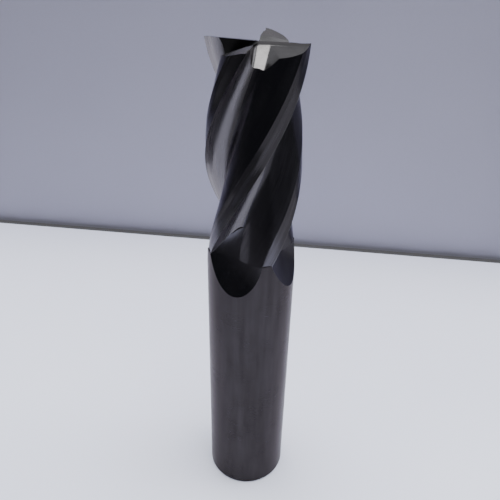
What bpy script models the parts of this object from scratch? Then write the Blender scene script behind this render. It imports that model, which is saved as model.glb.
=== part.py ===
"""Solid-carbide square end mill: four flutes, right-hand cut, 12 mm cutting diameter and shank.

The tool stands on its shank end: the origin is the centre of that face and +Z runs to the cutting end.
The one ground blank is described by its working zones, each a closed solid: the shank with the flute
run-outs, the core that the flutes leave, and the four helical teeth with their end-cutting edges.
A section is drawn with a cutting edge at azimuth 0 and the tooth behind it at negative azimuths.
"""

import math

import bmesh
import bpy
import numpy as np

# Driving dimensions, in metres and radians.
DIAMETER = 0.012
LENGTH = 0.070
CUT_LENGTH = 0.0265
RUN_OUT_LENGTH = 0.0049
FOOT_CHAMFER = 0.0003
TEETH = 4
HELIX = math.radians(29.5)
GAP = 0.0003

# Section of the flutes and the teeth.
CORE_RADIUS = 0.29 * DIAMETER
CORE_TAPER_LENGTH = 0.50 * DIAMETER
WHEEL_RADIUS = 1.76 * DIAMETER
RAKE = math.radians(8)
FILLET_RADIUS = 0.15 * DIAMETER
BACK_RADIUS = 0.41 * DIAMETER
LAND_ANGLE = math.radians(19)
LAND_END_ANGLE = math.radians(13)
PRIMARY_ANGLE = math.radians(12)
PRIMARY_RELIEF = math.radians(5)
SECONDARY_RELIEF = math.radians(8)

# Cutting end. The two long edges meet on the axis, and the two short ones stop before it.
DISH = math.radians(1.2)
END_PRIMARY_RELIEF = math.radians(8)
END_PRIMARY_WIDTH = 0.06 * DIAMETER
END_SECONDARY_RELIEF = math.radians(17)
GASH_SLOPE = math.radians(37)
GASH_OPENING = math.radians(53)
GASH_FLAT = 0.12 * DIAMETER
LONG_GASH_START = -0.05 * DIAMETER
SHORT_GASH_START = 0.05 * DIAMETER
CUTTER_MARGIN = 0.002
RELIEF_OVERLAP = 0.00002
GASH_OVERLAP = 0.00004
WELD_DISTANCE = 0.00001

# The run-out scoops stay slightly hollow down to their tips.
LEAST_SAG = 0.00001

# Fineness of the solids.
ROWS = 30
RUN_OUT_ROWS = 8
RAKE_STEPS = 3
FILLET_STEPS = 7
HALF_FILLET_POINTS = FILLET_STEPS // 2 + 1
BACK_STEPS = 6
LAND_STEPS = 2
ROOT_STEPS = 4
CORE_STEPS = 48
CORE_TAPER_ROWS = 5
SCOOP_STEPS = 14
RIM_STEPS = 6
SHARP_ANGLE = math.radians(30)

RADIUS = DIAMETER / 2
PITCH_ANGLE = 2 * math.pi / TEETH
TWIST = 2 * math.tan(HELIX) / DIAMETER
CUT_BOTTOM = LENGTH - CUT_LENGTH
RUN_OUT_BOTTOM = CUT_BOTTOM - RUN_OUT_LENGTH
TAPER_TOP = CUT_BOTTOM + CORE_TAPER_LENGTH
CORE_BLANK_TOP = LENGTH + CUTTER_MARGIN / 2


def clear_scene():
    for item in list(bpy.data.objects):
        bpy.data.objects.remove(item, do_unlink=True)


def coated_carbide(name, colour, roughness):
    made = bpy.data.materials.new(name)
    made.use_nodes = True
    shader = made.node_tree.nodes["Principled BSDF"]
    shader.inputs["Base Color"].default_value = (*colour, 1.0)
    shader.inputs["Roughness"].default_value = roughness
    shader.inputs["Metallic"].default_value = 1.0
    made.diffuse_color = (*colour, 1.0)
    return made


def polar(radius, angle):
    return np.array([radius * math.cos(angle), radius * math.sin(angle)])


def direction(vector):
    return math.atan2(vector[1], vector[0])


def arc(centre, radius, start, turn, steps):
    """Points along an arc, without its last point."""
    return [centre + polar(radius, start + turn * step / steps) for step in range(steps)]


def line(start, end, steps):
    """Points along a line, without its last point."""
    return [start + (end - start) * step / steps for step in range(steps)]


def core_radius(z):
    """The core is straight, then thickens where the grinding wheel leaves the blank."""
    down = max(TAPER_TOP - z, 0.0)
    return CORE_RADIUS + WHEEL_RADIUS - math.sqrt(WHEEL_RADIUS**2 - down**2)


def land_angle(z):
    share = min(max((TAPER_TOP - z) / CORE_TAPER_LENGTH, 0.0), 1.0)
    return LAND_ANGLE + (LAND_END_ANGLE - LAND_ANGLE) * share**2


def land_radii(angle):
    """The land falls away from the cutting circle in two straight reliefs."""
    primary = RADIUS - RADIUS * PRIMARY_ANGLE * math.tan(PRIMARY_RELIEF)
    return primary, primary - RADIUS * (angle - PRIMARY_ANGLE) * math.tan(SECONDARY_RELIEF)


def rake_and_fillet(core):
    """The straight rake face, and the centre of the arc that leaves it and just touches the core."""
    edge = polar(RADIUS, 0)
    inward = -polar(1, RAKE)
    across = np.array([-math.sin(RAKE), math.cos(RAKE)])
    base = edge + FILLET_RADIUS * across
    along = -(base @ inward)
    depth = along - math.sqrt(along**2 - base @ base + (core + FILLET_RADIUS) ** 2)
    return edge, edge + depth * inward, base + depth * inward


def flute_outline(z):
    """Down the rake face at azimuth 0, round the floor and up the back of the tooth ahead to its heel."""
    edge, leave, centre = rake_and_fillet(core_radius(z))
    angle = land_angle(z)
    heel = polar(land_radii(angle)[1], PITCH_ANGLE - angle)
    span = heel - centre
    distance = math.hypot(*span)
    reach = FILLET_RADIUS + BACK_RADIUS
    along = (reach**2 - BACK_RADIUS**2 + distance**2) / (2 * distance)
    aside = math.sqrt(reach**2 - along**2)
    unit = span / distance
    back_centre = centre + along * unit + aside * np.array([-unit[1], unit[0]])
    meet = centre + FILLET_RADIUS * (back_centre - centre) / reach
    start = direction(leave - centre)
    sweep = -((start - direction(meet - centre)) % (2 * math.pi))
    back_start = direction(meet - back_centre)
    turn = math.remainder(direction(heel - back_centre) - back_start, 2 * math.pi)
    points = line(edge, leave, RAKE_STEPS)
    points += arc(centre, FILLET_RADIUS, start, sweep, FILLET_STEPS)
    points += arc(back_centre, BACK_RADIUS, back_start, turn, BACK_STEPS)
    return points + [heel]


def turned(points, angle):
    cos, sin = math.cos(angle), math.sin(angle)
    return [np.array([cos * x - sin * y, sin * x + cos * y]) for x, y in points]


def cut_at(points, radius):
    """The part of a curve outside a radius, starting exactly on it."""
    radii = [math.hypot(*point) for point in points]
    first = next(i for i, r in enumerate(radii) if min(radii[i:]) > radius or i == len(radii) - 1)
    inner, outer = points[first - 1], points[first]
    share = (radius - radii[first - 1]) / (radii[first] - radii[first - 1])
    return [inner + (outer - inner) * share] + points[first:]


def resampled(points, count):
    """A fixed number of points, evenly spaced along a curve."""
    steps = [math.hypot(*(b - a)) for a, b in zip(points, points[1:])]
    along = np.concatenate([[0.0], np.cumsum(steps)])
    wanted = np.linspace(0.0, along[-1], count)
    table = np.array(points)
    return [np.array([np.interp(w, along, table[:, 0]), np.interp(w, along, table[:, 1])]) for w in wanted]


def tooth_outline(z):
    """Closed outline of one tooth: up its back, over the land, down the rake face, along the core."""
    inner = core_radius(z) + GAP
    flute = flute_outline(z)
    floor = int(np.argmin([math.hypot(*point) for point in flute]))
    rake = resampled(cut_at(flute[floor::-1], inner), RAKE_STEPS + HALF_FILLET_POINTS)
    back = resampled(cut_at(flute[floor:], inner), BACK_STEPS + HALF_FILLET_POINTS)
    back = turned(back, -PITCH_ANGLE)
    primary, _ = land_radii(land_angle(z))
    shoulder = polar(primary, -PRIMARY_ANGLE)
    land = line(back[-1], shoulder, LAND_STEPS) + line(shoulder, rake[-1], LAND_STEPS)
    start = direction(rake[0])
    root = arc(np.zeros(2), inner, start, direction(back[0]) - start, ROOT_STEPS)
    return back[:-1] + land + rake[:0:-1] + root


def lofted(name, sections, heights, finish):
    """A closed solid through sections with one point count, each a list of points about the axis."""
    mesh = bpy.data.meshes.new(name)
    work = bmesh.new()
    rings = [[work.verts.new((*point, z)) for point in ring] for ring, z in zip(sections, heights)]
    for low, high in zip(rings, rings[1:]):
        for i in range(len(low)):
            j = (i + 1) % len(low)
            work.faces.new((low[i], low[j], high[j], high[i]))
    work.faces.new(rings[0][::-1])
    work.faces.new(rings[-1])
    bmesh.ops.triangulate(work, faces=work.faces[:], quad_method="SHORT_EDGE")
    bmesh.ops.recalc_face_normals(work, faces=work.faces[:])
    work.to_mesh(mesh)
    work.free()
    mesh.shade_smooth()
    mesh.set_sharp_from_angle(angle=SHARP_ANGLE)
    made = bpy.data.objects.new(name, mesh)
    made.data.materials.append(finish)
    bpy.context.scene.collection.objects.link(made)
    return made


def scoop_outline(z):
    """Quarter of the shank's section in the run-out: half a land, the scoop and half the next land."""
    share = (CUT_BOTTOM - z) / RUN_OUT_LENGTH
    widest = (PITCH_ANGLE - LAND_END_ANGLE) / 2
    half = widest * math.sqrt(max(1 - share**2, 0.0))
    rim = polar(RADIUS, half)
    sag = max(rim[0] - core_radius(z), LEAST_SAG)
    floor = rim[0] - sag
    radius = (sag**2 + rim[1] ** 2) / (2 * sag)
    spread = math.atan2(rim[1], radius - sag)
    centre = np.array([floor + radius, 0.0])
    low = arc(np.zeros(2), RADIUS, -PITCH_ANGLE / 2, PITCH_ANGLE / 2 - half, RIM_STEPS)
    middle = arc(centre, radius, math.pi + spread, -2 * spread, SCOOP_STEPS)
    high = arc(np.zeros(2), RADIUS, half, PITCH_ANGLE / 2 - half, RIM_STEPS)
    return low + middle + high


def ring_section(quarter, angle):
    points = []
    for k in range(TEETH):
        points += turned(quarter, angle + k * PITCH_ANGLE)
    return points


def shank(finish):
    middle = (PITCH_ANGLE - LAND_END_ANGLE) / 2 - TWIST * CUT_LENGTH
    top = CUT_BOTTOM - GAP
    heights = list(np.linspace(RUN_OUT_BOTTOM, top, RUN_OUT_ROWS))
    sections = [ring_section(scoop_outline(z), middle) for z in heights]
    plain = sections[0]
    foot = [point * (RADIUS - FOOT_CHAMFER) / RADIUS for point in plain]
    return lofted("shank", [foot, plain, plain] + sections[1:], [0, FOOT_CHAMFER] + heights, finish)


def core(finish):
    heights = list(np.linspace(CUT_BOTTOM, TAPER_TOP, CORE_TAPER_ROWS)) + [CORE_BLANK_TOP]
    sections = [arc(np.zeros(2), core_radius(z), 0, 2 * math.pi, CORE_STEPS) for z in heights]
    return lofted("core", sections, heights, finish)


def tooth(k, finish):
    heights = list(np.linspace(CUT_BOTTOM, LENGTH, ROWS))
    sections = [turned(tooth_outline(z), k * PITCH_ANGLE + TWIST * (z - LENGTH)) for z in heights]
    return lofted(f"tooth_{k + 1}", sections, heights, finish)


def cutter(name, corners, faces, angle):
    mesh = bpy.data.meshes.new(name)
    mesh.from_pydata(corners, [], faces)
    work = bmesh.new()
    work.from_mesh(mesh)
    bmesh.ops.recalc_face_normals(work, faces=work.faces[:])
    work.to_mesh(mesh)
    work.free()
    made = bpy.data.objects.new(name, mesh)
    made.rotation_euler.z = angle
    made.hide_render = True
    made.display_type = "WIRE"
    bpy.context.scene.collection.objects.link(made)
    return made


def prism(name, near, far, x_near, x_far, angle):
    """A straight-sided cutter between two outlines (y, z) at two distances from the axis."""
    count = len(near)
    corners = [(x_near, y, z) for y, z in near] + [(x_far, y, z) for y, z in far]
    sides = [(i, (i + 1) % count, (i + 1) % count + count, i + count) for i in range(count)]
    caps = [tuple(range(count))[::-1], tuple(range(count, 2 * count))]
    return cutter(name, corners, sides + caps, angle)


def relief_cutter(k):
    """Clears everything above the two end reliefs, which fall away behind the end edge."""
    reach = RADIUS + CUTTER_MARGIN
    top = LENGTH + CUTTER_MARGIN

    def outline(x):
        edge = LENGTH - (RADIUS - x) * math.tan(DISH)
        shoulder = edge - END_PRIMARY_WIDTH * math.tan(END_PRIMARY_RELIEF)
        back = shoulder - (reach - END_PRIMARY_WIDTH) * math.tan(END_SECONDARY_RELIEF)
        return [(0, top), (0, edge), (-END_PRIMARY_WIDTH, shoulder), (-reach, back), (-reach, top)]

    near, far = outline(-RELIEF_OVERLAP), outline(reach)
    return prism(f"relief_{k}", near, far, -RELIEF_OVERLAP, reach, k * PITCH_ANGLE)


def gash_cutter(k):
    """The notch ahead of an end edge: its upright wall is the edge's rake face, its floor runs down outward."""
    start = LONG_GASH_START if k % 2 == 0 else SHORT_GASH_START
    reach = RADIUS + CUTTER_MARGIN

    def outline(x):
        top = LENGTH + CUTTER_MARGIN
        floor = LENGTH - (x - start) * math.tan(GASH_SLOPE)
        mouth = GASH_FLAT + (top - floor) * math.tan(GASH_OPENING)
        return [(-GASH_OVERLAP, top), (-GASH_OVERLAP, floor), (GASH_FLAT, floor), (mouth, top)]

    return prism(f"gash_{k}", outline(start), outline(reach), start, reach, k * PITCH_ANGLE)


def cut_end(piece, cutters):
    for item in cutters:
        modifier = piece.modifiers.new(item.name, "BOOLEAN")
        modifier.operation = "DIFFERENCE"
        modifier.solver = "MANIFOLD"
        modifier.object = item
    piece.modifiers.new("weld", "WELD").merge_threshold = WELD_DISTANCE


def main():
    clear_scene()
    ground = coated_carbide("ground_carbide", (0.055, 0.055, 0.060), 0.34)
    polished = coated_carbide("fluted_carbide", (0.030, 0.030, 0.036), 0.22)
    shank(ground)
    cutters = [relief_cutter(k) for k in range(TEETH)] + [gash_cutter(k) for k in range(TEETH)]
    cut_end(core(polished), cutters)
    for k in range(TEETH):
        cut_end(tooth(k, polished), cutters)


main()
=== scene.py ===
"""Looks of the end mill: one coated solid-carbide body, standing on pale paper under soft light."""
import math

import bmesh
import bpy
import numpy as np
from mathutils import Matrix, Vector

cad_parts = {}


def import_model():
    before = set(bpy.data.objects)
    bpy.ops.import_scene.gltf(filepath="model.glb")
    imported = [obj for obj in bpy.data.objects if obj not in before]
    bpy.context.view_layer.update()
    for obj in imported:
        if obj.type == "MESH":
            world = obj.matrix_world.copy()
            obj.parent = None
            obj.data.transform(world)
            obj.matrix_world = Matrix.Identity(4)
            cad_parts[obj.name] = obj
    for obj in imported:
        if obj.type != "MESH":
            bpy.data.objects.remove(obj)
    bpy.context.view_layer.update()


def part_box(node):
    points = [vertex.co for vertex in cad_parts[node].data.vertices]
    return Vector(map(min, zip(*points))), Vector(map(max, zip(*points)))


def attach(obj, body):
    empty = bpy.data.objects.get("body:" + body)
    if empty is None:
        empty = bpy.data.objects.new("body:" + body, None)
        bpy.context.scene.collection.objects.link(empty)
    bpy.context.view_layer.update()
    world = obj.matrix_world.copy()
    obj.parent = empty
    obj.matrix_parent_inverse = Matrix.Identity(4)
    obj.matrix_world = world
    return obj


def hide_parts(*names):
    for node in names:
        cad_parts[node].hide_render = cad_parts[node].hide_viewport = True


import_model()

# Driving sizes, in metres and radians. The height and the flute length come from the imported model.
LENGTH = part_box("tooth_1")[1][2]
CUT_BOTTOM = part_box("tooth_1")[0][2]
DIAMETER = 0.012
RADIUS = DIAMETER / 2
TEETH = 4
PITCH_ANGLE = 2 * math.pi / TEETH
HELIX = math.radians(29.5)
TWIST = 2 * math.tan(HELIX) / DIAMETER
FOOT_CHAMFER = 0.0003
SEAM_DEPTH = 0.0053
SEAM = CUT_BOTTOM - SEAM_DEPTH
PER_METRE = 1000.0

# Section of the flutes and the teeth.
CORE_RADIUS = 0.29 * DIAMETER
RAKE = math.radians(8)
FILLET_RADIUS = 0.15 * DIAMETER
BACK_RADIUS = 0.41 * DIAMETER
LAND_ANGLE = math.radians(19)
LAND_END_ANGLE = math.radians(13)
LAND_CHANGE = 0.41 * DIAMETER
PRIMARY_ANGLE = math.radians(12)
PRIMARY_RELIEF = math.radians(5)
SECONDARY_RELIEF = math.radians(8)

# The grinding wheel's rim where it leaves the blank shapes the run-outs.
WHEEL_RADIUS = 1.97 * DIAMETER
WHEEL_REACH = 0.288 * DIAMETER
WHEEL_CROWN = 1.3 * DIAMETER
WHEEL_DEPTH = 1.73 * DIAMETER
WHEEL_HALF_WIDTH = 0.6 * DIAMETER
WHEEL_ANGLE = math.radians(-105.2)
WHEEL_FOLLOW = math.radians(110) / DIAMETER**2
WHEEL_RETURN = math.radians(9) / DIAMETER
SCOOP_DEPTH = 2.75 * DIAMETER
SCOOP_OVERLAP = 0.001

# A neck of the blank, hidden inside the teeth, joins them to it. Each pair is a height above the foot of
# the teeth and a radius, in diameters.
NECK = [(0.0, 0.485), (0.15, 0.43), (0.28, 0.32), (0.40, 0.28)]
TOOTH_OVERLAP = 0.01 * DIAMETER

# Cutting end.
DISH = math.radians(1.2)
END_PRIMARY_RELIEF = math.radians(8)
END_PRIMARY_WIDTH = 0.06 * DIAMETER
END_SECONDARY_RELIEF = math.radians(17)
GASH_SLOPE = math.radians(37)
GASH_OPENING = math.radians(53)
GASH_FLAT = 0.135 * DIAMETER
GASH_TAPER = 0.08
GASH_ROUND = 0.05 * DIAMETER
LONG_GASH_START = -0.05 * DIAMETER
SHORT_GASH_START = 0.05 * DIAMETER
MARGIN = 0.002

# Fineness of the mesh.
ROWS = 170
SCOOP_ROWS = 90
RAKE_STEPS = 8
FILLET_STEPS = 26
BACK_STEPS = 26
RAKE_FILLET_STEPS = 20
LAND_STEPS = 5
GASH_ROUND_STEPS = 6
ROUND_STEPS = 288
WHEEL_STEPS = 61
SMOOTH_ANGLE = math.radians(24)

# Finishes by face, in the order of the body's material slots.
FINISHES = 5
FLUTE, OUTSIDE, LAND, END, RAKE_FACE = range(FINISHES)


def polar(radius, angle):
    return np.array([radius * math.cos(angle), radius * math.sin(angle)])


def direction(vector):
    return math.atan2(vector[1], vector[0])


def arc(centre, radius, start, turn, steps):
    """Points along an arc, without its last point."""
    return [centre + polar(radius, start + turn * step / steps) for step in range(steps)]


def line(start, end, steps):
    """Points along a line, without its last point."""
    return [start + (end - start) * step / steps for step in range(steps)]


def turned(points, angle):
    cos, sin = math.cos(angle), math.sin(angle)
    return [np.array([cos * x - sin * y, sin * x + cos * y]) for x, y in points]


def land_angle(z):
    """The lands narrow towards the run-outs."""
    share = min(max((CUT_BOTTOM + LAND_CHANGE - z) / LAND_CHANGE, 0.0), 1.0)
    return LAND_ANGLE + (LAND_END_ANGLE - LAND_ANGLE) * share**2


def section_quarter(z):
    """Rake face down from azimuth 0, flute floor, back of the tooth ahead, its land up to its edge."""
    edge = polar(RADIUS, 0)
    inward = -polar(1, RAKE)
    across = np.array([-math.sin(RAKE), math.cos(RAKE)])
    base = edge + FILLET_RADIUS * across
    along = -(base @ inward)
    depth = along - math.sqrt(along**2 - base @ base + (CORE_RADIUS + FILLET_RADIUS) ** 2)
    leave = edge + depth * inward
    centre = base + depth * inward
    angle = land_angle(z)
    primary = RADIUS - RADIUS * PRIMARY_ANGLE * math.tan(PRIMARY_RELIEF)
    heel_radius = primary - RADIUS * (angle - PRIMARY_ANGLE) * math.tan(SECONDARY_RELIEF)
    heel = polar(heel_radius, PITCH_ANGLE - angle)
    span = heel - centre
    distance = math.hypot(*span)
    reach = FILLET_RADIUS + BACK_RADIUS
    along = (reach**2 - BACK_RADIUS**2 + distance**2) / (2 * distance)
    aside = math.sqrt(reach**2 - along**2)
    unit = span / distance
    back_centre = centre + along * unit + aside * np.array([-unit[1], unit[0]])
    meet = centre + FILLET_RADIUS * (back_centre - centre) / reach
    start = direction(leave - centre)
    sweep = -((start - direction(meet - centre)) % (2 * math.pi))
    back_start = direction(meet - back_centre)
    turn = math.remainder(direction(heel - back_centre) - back_start, 2 * math.pi)
    shoulder = polar(primary, PITCH_ANGLE - PRIMARY_ANGLE)
    points = line(edge, leave, RAKE_STEPS)
    points += arc(centre, FILLET_RADIUS, start, sweep, FILLET_STEPS)
    points += arc(back_centre, BACK_RADIUS, back_start, turn, BACK_STEPS)
    points += line(heel, shoulder, LAND_STEPS)
    points += line(shoulder, polar(RADIUS, PITCH_ANGLE), LAND_STEPS)
    return points


def section(z):
    """The whole outline at a height, turned to its place on the helix."""
    quarter = section_quarter(z)
    points = []
    for k in range(TEETH):
        points += turned(quarter, k * PITCH_ANGLE + TWIST * (z - LENGTH))
    return points


def mesh_object(name, corners, faces, finish=FLUTE):
    """An object with one empty material slot for each finish, all its faces in one of them."""
    mesh = bpy.data.meshes.new(name)
    mesh.from_pydata([tuple(c) for c in corners], [], faces)
    work = bmesh.new()
    work.from_mesh(mesh)
    bmesh.ops.recalc_face_normals(work, faces=work.faces[:])
    work.to_mesh(mesh)
    work.free()
    made = bpy.data.objects.new(name, mesh)
    bpy.context.scene.collection.objects.link(made)
    for _ in range(FINISHES):
        mesh.materials.append(None)
    mesh.polygons.foreach_set("material_index", [finish] * len(mesh.polygons))
    return made


def lofted(name, sections, heights, finish=FLUTE):
    """A closed solid through sections with one point count, each about the axis."""
    count = len(sections[0])
    corners = [(x, y, z) for ring, z in zip(sections, heights) for x, y in ring]
    faces = []
    for row in range(len(sections) - 1):
        low = row * count
        for i in range(count):
            j = (i + 1) % count
            faces.append((low + i, low + j, low + count + j, low + count + i))
    faces.append(tuple(range(count))[::-1])
    last = (len(sections) - 1) * count
    faces.append(tuple(range(last, last + count)))
    return mesh_object(name, corners, faces, finish)


def round_section(radius):
    return arc(np.zeros(2), radius, 0, 2 * math.pi, ROUND_STEPS)


def prism(name, near, far, x_near, x_far, angle):
    """A straight-sided cutter between two outlines (y, z) at two distances from the axis."""
    count = len(near)
    corners = [(x_near, y, z) for y, z in near] + [(x_far, y, z) for y, z in far]
    sides = [(i, (i + 1) % count, (i + 1) % count + count, i + count) for i in range(count)]
    caps = [tuple(range(count))[::-1], tuple(range(count, 2 * count))]
    made = mesh_object(name, corners, sides + caps, END)
    made.data.transform(Matrix.Rotation(angle, 4, "Z"))
    return made


def relief_cutter(k):
    """Clears everything above the two end reliefs, which fall away behind the end edge."""
    reach = RADIUS + MARGIN
    top = LENGTH + MARGIN

    def outline(x):
        edge = LENGTH - (RADIUS - x) * math.tan(DISH)
        shoulder = edge - END_PRIMARY_WIDTH * math.tan(END_PRIMARY_RELIEF)
        back = shoulder - (reach - END_PRIMARY_WIDTH) * math.tan(END_SECONDARY_RELIEF)
        return [(0, top), (0, edge), (-END_PRIMARY_WIDTH, shoulder), (-reach, back), (-reach, top)]

    return prism(f"relief_{k}", outline(0), outline(reach), 0, reach, k * PITCH_ANGLE)


def gash_cutter(k):
    """The round-cornered notch ahead of an end edge, its floor running down outward."""
    start = LONG_GASH_START if k % 2 == 0 else SHORT_GASH_START
    reach = RADIUS + MARGIN

    def outline(x):
        top = LENGTH + MARGIN
        floor = LENGTH - (x - start) * math.tan(GASH_SLOPE)
        rise = math.pi / 2 - GASH_OPENING
        flat = GASH_FLAT - GASH_TAPER * max(x, 0.0)
        near_corner = np.array([GASH_ROUND, floor + GASH_ROUND])
        far_corner = np.array([flat, floor + GASH_ROUND])
        inner = arc(near_corner, GASH_ROUND, math.pi, math.pi / 2, GASH_ROUND_STEPS)
        outer = arc(far_corner, GASH_ROUND, -math.pi / 2, rise, GASH_ROUND_STEPS)
        last = outer[-1]
        mouth = last[0] + (top - last[1]) * math.tan(GASH_OPENING)
        return [(0, top), *inner, *outer, (mouth, top)]

    return prism(f"gash_{k}", outline(start), outline(reach), start, reach, k * PITCH_ANGLE)


def wheel_turn(z):
    """The wheel follows the helix until the teeth end, and leaves the blank almost straight."""
    above = z - CUT_BOTTOM
    return WHEEL_ANGLE - WHEEL_RETURN * above + WHEEL_FOLLOW * max(above, 0.0) ** 2


def scoop_cutter(k):
    """The space that the crowned rim of the wheel sweeps as it leaves flute k."""
    across = np.linspace(-WHEEL_HALF_WIDTH, WHEEL_HALF_WIDTH, WHEEL_STEPS)
    heights = np.linspace(LENGTH - SCOOP_DEPTH, LENGTH - WHEEL_DEPTH + SCOOP_OVERLAP, SCOOP_ROWS)
    sections = []
    for z in heights:
        down = LENGTH - WHEEL_DEPTH - z
        rim = WHEEL_RADIUS - across**2 / (2 * WHEEL_CROWN)
        x = WHEEL_REACH + WHEEL_RADIUS - np.sqrt(rim**2 - down**2)
        outside = [(DIAMETER, WHEEL_HALF_WIDTH), (DIAMETER, -WHEEL_HALF_WIDTH)]
        ring = list(zip(x, across)) + outside
        sections.append(turned(ring, wheel_turn(z) + k * PITCH_ANGLE))
    return lofted(f"scoop_{k}", sections, heights.tolist())


def combine(piece, others, operation):
    """Applies one Boolean for each of the others, in their order, and removes them."""
    bpy.context.view_layer.objects.active = piece
    for other in others:
        modifier = piece.modifiers.new(other.name, "BOOLEAN")
        modifier.operation = operation
        modifier.solver = "MANIFOLD"
        modifier.object = other
        bpy.ops.object.modifier_apply(modifier=modifier.name)
        bpy.data.objects.remove(other, do_unlink=True)


def toothed_body():
    """The helical teeth and core, with the lands and the rake faces marked for their own finishes."""
    heights = np.linspace(CUT_BOTTOM - TOOTH_OVERLAP, LENGTH, ROWS).tolist()
    body = lofted("fluted_section", [section(z) for z in heights], heights)
    quarter = RAKE_STEPS + FILLET_STEPS + BACK_STEPS + 2 * LAND_STEPS
    for index in range((ROWS - 1) * quarter * TEETH):
        place = index % quarter
        if place >= quarter - 2 * LAND_STEPS:
            body.data.polygons[index].material_index = LAND
        elif place < RAKE_STEPS + RAKE_FILLET_STEPS:
            body.data.polygons[index].material_index = RAKE_FACE
    return body


def run_out_plug():
    """The end of the round blank, with a hidden neck up inside the teeth."""
    rings = [(SEAM, RADIUS), (CUT_BOTTOM, RADIUS)]
    rings += [(CUT_BOTTOM + up * DIAMETER, radius * DIAMETER) for up, radius in NECK]
    heights, radii = zip(*rings)
    plug = lofted("run_out", [round_section(r) for r in radii], list(heights), OUTSIDE)
    combine(plug, [scoop_cutter(k) for k in range(TEETH)], "DIFFERENCE")
    return plug


def fluted_body():
    body = toothed_body()
    combine(body, [run_out_plug()], "UNION")
    cutters = [relief_cutter(k) for k in range(TEETH)] + [gash_cutter(k) for k in range(TEETH)]
    combine(body, cutters, "DIFFERENCE")
    return body


def shank_body():
    radii = [RADIUS - FOOT_CHAMFER, RADIUS, RADIUS]
    heights = [0.0, FOOT_CHAMFER, SEAM]
    return lofted("shank_section", [round_section(r) for r in radii], heights, OUTSIDE)


def dress(piece, nodes):
    """Shades a finished piece and ties it to the nodes that it stands for."""
    piece.data.shade_smooth()
    piece.data.set_sharp_from_angle(angle=SMOOTH_ANGLE)
    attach(piece, "root")
    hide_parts(*nodes)


class Nodes:
    """Short way to write a material's nodes."""

    def __init__(self, name):
        self.material = bpy.data.materials.new(name)
        self.material.use_nodes = True
        self.tree = self.material.node_tree
        self.shader = self.tree.nodes["Principled BSDF"]

    def add(self, kind, inputs=None, **settings):
        made = self.tree.nodes.new("ShaderNode" + kind)
        for name, value in settings.items():
            setattr(made, name, value)
        for key, value in (inputs or {}).items():
            self.put(made.inputs[key], value)
        return made

    def put(self, socket, value):
        if isinstance(value, bpy.types.NodeSocket):
            self.tree.links.new(value, socket)
        else:
            socket.default_value = value

    def math(self, operation, *values):
        return self.add("Math", dict(enumerate(values)), operation=operation).outputs[0]

    def place(self):
        """Position on the object, in millimetres."""
        here = self.add("TexCoord").outputs["Object"]
        return self.add("VectorMath", {0: here, "Scale": PER_METRE}, operation="SCALE").outputs[0]

    def noise(self, vector, stretch, detail=3.0):
        scaled = self.add("VectorMath", {0: vector, 1: stretch}, operation="MULTIPLY").outputs[0]
        made = self.add("TexNoise", {"Vector": scaled, "Scale": 1.0, "Detail": detail})
        return made.outputs[0]

    def ranged(self, value, to_low, to_high, low=0.3, high=0.7):
        """Maps low and high, by default about where a noise begins and ends, to two new values."""
        inputs = {0: value, 1: low, 2: high, 3: to_low, 4: to_high}
        return self.add("MapRange", inputs).outputs[0]

    def mixed(self, share, first, second):
        inputs = {0: share, 6: (*first, 1.0) if isinstance(first, tuple) else first, 7: (*second, 1.0)}
        return self.add("Mix", inputs, data_type="RGBA").outputs[2]

    def blend(self, first, second, share):
        """The second value weighs its share, and the first the rest."""
        rest = self.math("MULTIPLY", first, 1 - share)
        return self.math("ADD", rest, self.math("MULTIPLY", second, share))

    def bump(self, height, strength, distance):
        inputs = {"Height": height, "Strength": strength, "Distance": distance}
        self.put(self.shader.inputs["Normal"], self.add("Bump", inputs).outputs[0])

    def finish(self, colour, roughness, tint=(1, 1, 1), metallic=1.0):
        self.put(self.shader.inputs["Base Color"], colour)
        self.put(self.shader.inputs["Roughness"], roughness)
        self.shader.inputs["Specular Tint"].default_value = (*tint, 1.0)
        self.shader.inputs["Metallic"].default_value = metallic
        return self.material


# Darker and lighter tone of each finish, and the bare metal of worn edges.
FLUTE_TONES = (0.074, 0.070, 0.083), (0.090, 0.087, 0.098)
LAND_TONES = (0.066, 0.062, 0.070), (0.083, 0.079, 0.087)
# Painted highlight: the rake tones are far lighter than the flutes and stand for the reflection streak
# along the cutting edges.
RAKE_TONES_WITH_PAINTED_HIGHLIGHT = (0.150, 0.138, 0.138), (0.235, 0.218, 0.218)
# Painted shade: the rake's tone towards the bottom of the flutes.
RAKE_PAINTED_SHADE_TONE = (0.115, 0.108, 0.112)
END_TONES = (0.056, 0.055, 0.056), (0.069, 0.067, 0.069)
SHANK_TONES = (0.029, 0.0255, 0.0265), (0.043, 0.0385, 0.040)
WORN = (0.20, 0.197, 0.205)
WORN_END = (0.30, 0.30, 0.31)
WEAR_SHARE = 0.8

# Tint of reflections at a grazing angle.
EDGE_TINT = (0.75, 0.73, 0.75)
SHANK_TINT = (0.70, 0.67, 0.67)

# Wear reaches this far from a cutting edge, in millimetres. Painted shade on the rake faces deepens
# between two radii, darker towards the bottom of the flutes.
WEAR_REACH = (0.03, 0.09)
PAINTED_SHADE_START = 0.92 * RADIUS * PER_METRE
PAINTED_SHADE_END = 0.74 * RADIUS * PER_METRE


def untwisted(nodes, place):
    """Position turned back along the helix, so that the flutes run straight up it."""
    parts = nodes.add("SeparateXYZ", {0: place})
    down = nodes.math("SUBTRACT", parts.outputs["Z"], LENGTH * PER_METRE)
    angle = nodes.math("MULTIPLY", down, -TWIST / PER_METRE)
    inputs = {"Vector": place, "Angle": angle}
    return nodes.add("VectorRotate", inputs, rotation_type="Z_AXIS").outputs[0]


def length_of(nodes, x, y):
    """Length of the vector (x, y)."""
    squares = nodes.math("ADD", nodes.math("MULTIPLY", x, x), nodes.math("MULTIPLY", y, y))
    return nodes.math("SQRT", squares)


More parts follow.
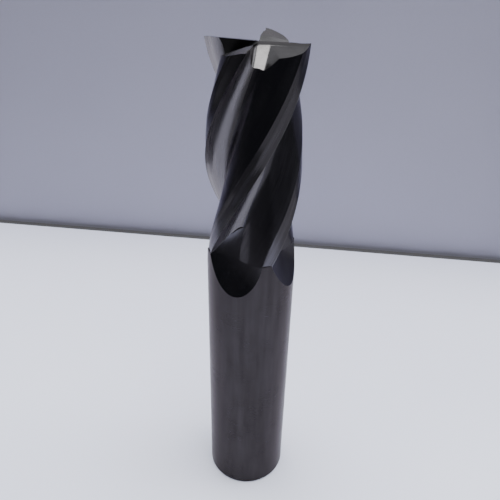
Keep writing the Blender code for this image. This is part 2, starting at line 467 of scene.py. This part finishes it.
def edge_wear(nodes, straight):
    """Share of wear: 1 on a cutting edge, fading over a few hundredths of a millimetre."""
    parts = nodes.add("SeparateXYZ", {0: straight})
    x, y = parts.outputs["X"], parts.outputs["Y"]
    wrapped = nodes.math("PINGPONG", nodes.math("ARCTAN2", y, x), PITCH_ANGLE / 2)
    aside = nodes.math("MULTIPLY", wrapped, RADIUS * PER_METRE)
    inside = nodes.math("SUBTRACT", RADIUS * PER_METRE, length_of(nodes, x, y))
    distance = length_of(nodes, aside, inside)
    reach = nodes.ranged(nodes.noise(straight, (6.0, 6.0, 1.6)), *WEAR_REACH)
    return nodes.ranged(nodes.math("DIVIDE", distance, reach), 1.0, 0.0, 0.4, 1.0)


def painted_shade_share(nodes, straight):
    """Share of painted shade: 0 near the cutting circle, 1 at the bottom of the flutes."""
    parts = nodes.add("SeparateXYZ", {0: straight})
    radius = length_of(nodes, parts.outputs["X"], parts.outputs["Y"])
    return nodes.ranged(radius, 0.0, 1.0, PAINTED_SHADE_START, PAINTED_SHADE_END)


def flute_finish(name, tones, rough, metallic=1.0, painted_shade_tone=None):
    """Coated carbide with grinding lines along the helix, and bare metal at the cutting edges."""
    nodes = Nodes(name)
    straight = untwisted(nodes, nodes.place())
    lines = nodes.noise(straight, (9.0, 9.0, 0.25))
    broad = nodes.noise(straight, (0.55, 0.55, 0.16), 2.0)
    streaks = nodes.noise(straight, (2.4, 2.4, 0.07), 4.0)
    mixture = nodes.blend(broad, streaks, 0.65)
    tone = nodes.mixed(nodes.ranged(mixture, 0.0, 1.0, 0.36, 0.62), *tones)
    # Painted shade: the given tone darkens the colour towards the bottom of the flutes.
    if painted_shade_tone:
        tone = nodes.mixed(painted_shade_share(nodes, straight), tone, painted_shade_tone)
    wear = nodes.math("MULTIPLY", edge_wear(nodes, straight), WEAR_SHARE)
    fine = nodes.ranged(lines, rough - 0.05, rough + 0.05)
    roughness = nodes.math("ADD", fine, nodes.ranged(broad, -0.03, 0.03))
    nodes.bump(lines, 0.25, 0.000012)
    return nodes.finish(nodes.mixed(wear, tone, WORN), roughness, EDGE_TINT, metallic)


def end_finish():
    """Ground end faces: short straight grinding lines and a touch of bare metal at the rim."""
    nodes = Nodes("end_faces")
    place = nodes.place()
    lines = nodes.noise(place, (2.0, 14.0, 14.0))
    broad = nodes.noise(place, (0.7, 0.7, 0.7), 2.0)
    tone = nodes.mixed(nodes.ranged(broad, 0.0, 1.0), *END_TONES)
    wear = nodes.math("MULTIPLY", edge_wear(nodes, untwisted(nodes, place)), WEAR_SHARE)
    roughness = nodes.ranged(lines, 0.16, 0.26)
    nodes.bump(lines, 0.2, 0.00001)
    return nodes.finish(nodes.mixed(wear, tone, WORN_END), roughness, EDGE_TINT)


def shank_finish():
    """Centreless-ground shank: fine rings round it, and faint streaks of tone along it."""
    nodes = Nodes("ground_shank")
    place = nodes.place()
    rings = nodes.noise(place, (0.4, 0.4, 9.0))
    streaks = nodes.noise(place, (1.1, 1.1, 0.10), 4.0)
    cloud = nodes.noise(place, (0.35, 0.35, 0.2), 2.0)
    share = nodes.ranged(nodes.blend(streaks, cloud, 0.4), 0.0, 1.0, 0.35, 0.65)
    fine = nodes.ranged(rings, 0.27, 0.33)
    roughness = nodes.math("ADD", fine, nodes.ranged(cloud, -0.03, 0.03))
    nodes.bump(rings, 0.03, 0.00001)
    return nodes.finish(nodes.mixed(share, *SHANK_TONES), roughness, SHANK_TINT)


def paper_finish(name, tones):
    """Matt fibrous surface with a slight cloudiness."""
    nodes = Nodes(name)
    place = nodes.place()
    fibres = nodes.noise(place, (3.0, 3.0, 3.0), 5.0)
    cloud = nodes.noise(place, (0.02, 0.02, 0.02), 2.0)
    share = nodes.ranged(nodes.blend(fibres, cloud, 0.6), 0.0, 1.0)
    nodes.bump(fibres, 0.15, 0.00003)
    return nodes.finish(nodes.mixed(share, *tones), 0.85, metallic=0.0)


# Camera, turned round the tool's axis, with distances from its foot.
CAMERA_TURN = math.radians(9.7)
CAMERA_DISTANCE = 5.515 * DIAMETER
CAMERA_HEIGHT = 7.135 * DIAMETER
CAMERA_PITCH = math.radians(33.17)
CAMERA_YAW = math.radians(-0.17)
CAMERA_ROLL = math.radians(1.39)
LENS = 41.9
SENSOR_WIDTH = 36
CLIP_START = 0.001


def camera():
    data = bpy.data.cameras.new("camera")
    data.lens = LENS
    data.sensor_width = SENSOR_WIDTH
    data.clip_start = CLIP_START
    made = bpy.data.objects.new("camera", data)
    bpy.context.scene.collection.objects.link(made)
    turn = Matrix.Rotation(CAMERA_TURN, 4, "Z")
    look = Matrix.Rotation(-CAMERA_YAW, 4, "Z") @ Matrix.Rotation(math.pi / 2 - CAMERA_PITCH, 4, "X")
    place = Matrix.Translation((0, -CAMERA_DISTANCE, CAMERA_HEIGHT))
    made.matrix_world = turn @ place @ look @ Matrix.Rotation(CAMERA_ROLL, 4, "Z")
    bpy.context.scene.camera = made


# Stage, turned with the camera and in diameters of the tool from its axis (right, away). A sheet of paper
# lies a little askew, with a pale bench and a card beside it, a dark bench under them, and an upright
# board behind the far edge. The dark bench's tone is painted shade: seen through the gap behind the
# sheet's far edge, it draws a painted shadow line there.
SHEET = [(-9.2, 6.63), (-5.4, -6.0), (6.3, -9.2), (6.0, 5.07)]
LIGHT_BENCH = [(0.3, -8.0), (0.3, -45.0), (45.0, -45.0), (45.0, 0.9), (6.0, 5.05)]
LEFT_CARD = [(-17.5, -6.5), (-9.8, -6.0), (-10.0, 4.5), (-17.5, 4.0)]
CARD_LEVEL = -0.02
SHADE_SHEET_LEVEL = -0.04
BOARD_FOOT = -0.05
SHEET_TURN = math.radians(-5.85)
SHEET_BACK = 5.69
GAP_WIDTH = 0.20
STAGE_SIZE = 60.0
WALL_HEIGHT = 6.9
PAPER_TONES = (0.76, 0.79, 0.955), (0.81, 0.84, 0.99)
WALL_TONES = (0.425, 0.418, 0.52), (0.463, 0.456, 0.567)
# Painted shade: the dark bench's tones, seen as the shadow line in the gap behind the sheet.
GAP_SHADE_TONES = (0.060, 0.060, 0.065), (0.075, 0.075, 0.08)
LIGHT_BENCH_TONES = (0.30, 0.30, 0.32), (0.34, 0.34, 0.36)


def stage_face(name, corners, finish):
    made = mesh_object(name, [Vector(c) * DIAMETER for c in corners], [tuple(range(len(corners)))])
    made.data.materials.clear()
    made.data.materials.append(finish)
    made.matrix_world = Matrix.Rotation(CAMERA_TURN, 4, "Z")


def far_edge(z):
    """The two ends of a line along the gap behind the sheet's far edge, left and then right."""
    cos, sin = math.cos(SHEET_TURN), math.sin(SHEET_TURN)
    x, y = -sin * GAP_WIDTH, SHEET_BACK + cos * GAP_WIDTH
    return [(x + cos * side, y + sin * side, z) for side in (-STAGE_SIZE, STAGE_SIZE)]


def stage():
    pale = paper_finish("bench_light", LIGHT_BENCH_TONES)
    stage_face("paper", [(x, y, 0.0) for x, y in SHEET], paper_finish("paper_white", PAPER_TONES))
    stage_face("left_card", [(x, y, CARD_LEVEL) for x, y in LEFT_CARD], pale)
    stage_face("light_bench", [(x, y, CARD_LEVEL) for x, y in LIGHT_BENCH], pale)
    # The dark bench: its tone is painted shade, the shadow line in the gap behind the sheet.
    near = [(-STAGE_SIZE, -STAGE_SIZE, SHADE_SHEET_LEVEL), (STAGE_SIZE, -STAGE_SIZE, SHADE_SHEET_LEVEL)]
    bench = near + far_edge(SHADE_SHEET_LEVEL)[::-1]
    stage_face("bench", bench, paper_finish("painted_gap_shade", GAP_SHADE_TONES))
    board = far_edge(BOARD_FOOT) + far_edge(WALL_HEIGHT)[::-1]
    stage_face("backdrop", board, paper_finish("wall_grey", WALL_TONES))


# Soft lights, each facing a point on the flutes: name, direction as the camera is turned, distance, size,
# power and colour.
LIT_POINT = Vector((0, 0, 0.05))
LIGHTS = [
    ("overhead", (0.03, 0.04, 1.0), 0.6, (0.50, 0.30), 5.6, (1.0, 0.985, 0.96)),
    ("ceiling", (0.0, 0.14, 1.0), 0.9, (2.2, 1.26), 13.6, (0.94, 0.965, 1.0)),
    ("side", (0.80, 0.25, 0.55), 0.6, (0.45, 0.40), 1.9, (0.97, 0.98, 1.0)),
    ("rear", (0.0, 0.87, 0.48), 0.7, (1.2, 0.46), 1.4, (0.97, 0.98, 1.0)),
]
ROOM_COLOUR = (0.85, 0.9, 1.0)
ROOM_STRENGTH = 0.07


def area_light(name, towards, distance, size, power, colour):
    data = bpy.data.lights.new(name, "AREA")
    data.shape = "RECTANGLE"
    data.size, data.size_y = size
    data.energy = power
    data.color = colour
    made = bpy.data.objects.new(name, data)
    bpy.context.scene.collection.objects.link(made)
    way = (Matrix.Rotation(CAMERA_TURN, 3, "Z") @ Vector(towards)).normalized()
    made.location = LIT_POINT + way * distance
    made.rotation_euler = (-way).to_track_quat("-Z", "Y").to_euler()


def world(colour, strength):
    made = bpy.data.worlds.new("studio")
    made.use_nodes = True
    shader = made.node_tree.nodes["Background"]
    shader.inputs["Color"].default_value = (*colour, 1)
    shader.inputs["Strength"].default_value = strength
    bpy.context.scene.world = made


def lights():
    world(ROOM_COLOUR, ROOM_STRENGTH)
    for light in LIGHTS:
        area_light(*light)


def main():
    body = fluted_body()
    outside = shank_finish()
    body.data.materials[FLUTE] = flute_finish("fluted_carbide", FLUTE_TONES, 0.20)
    body.data.materials[OUTSIDE] = outside
    body.data.materials[LAND] = flute_finish("land_carbide", LAND_TONES, 0.23)
    body.data.materials[END] = end_finish()
    # The rake faces get lighter, slightly less metallic tones as painted highlight, and painted shade
    # towards the bottom of the flutes.
    body.data.materials[RAKE_FACE] = flute_finish("rake_carbide_painted_light", RAKE_TONES_WITH_PAINTED_HIGHLIGHT, 0.30, 0.9, RAKE_PAINTED_SHADE_TONE)
    shank = shank_body()
    shank.data.materials[OUTSIDE] = outside
    shank.data.materials[FLUTE] = outside
    dress(body, ("core", "tooth_1", "tooth_2", "tooth_3", "tooth_4"))
    dress(shank, ("shank",))
    camera()
    stage()
    lights()


main()
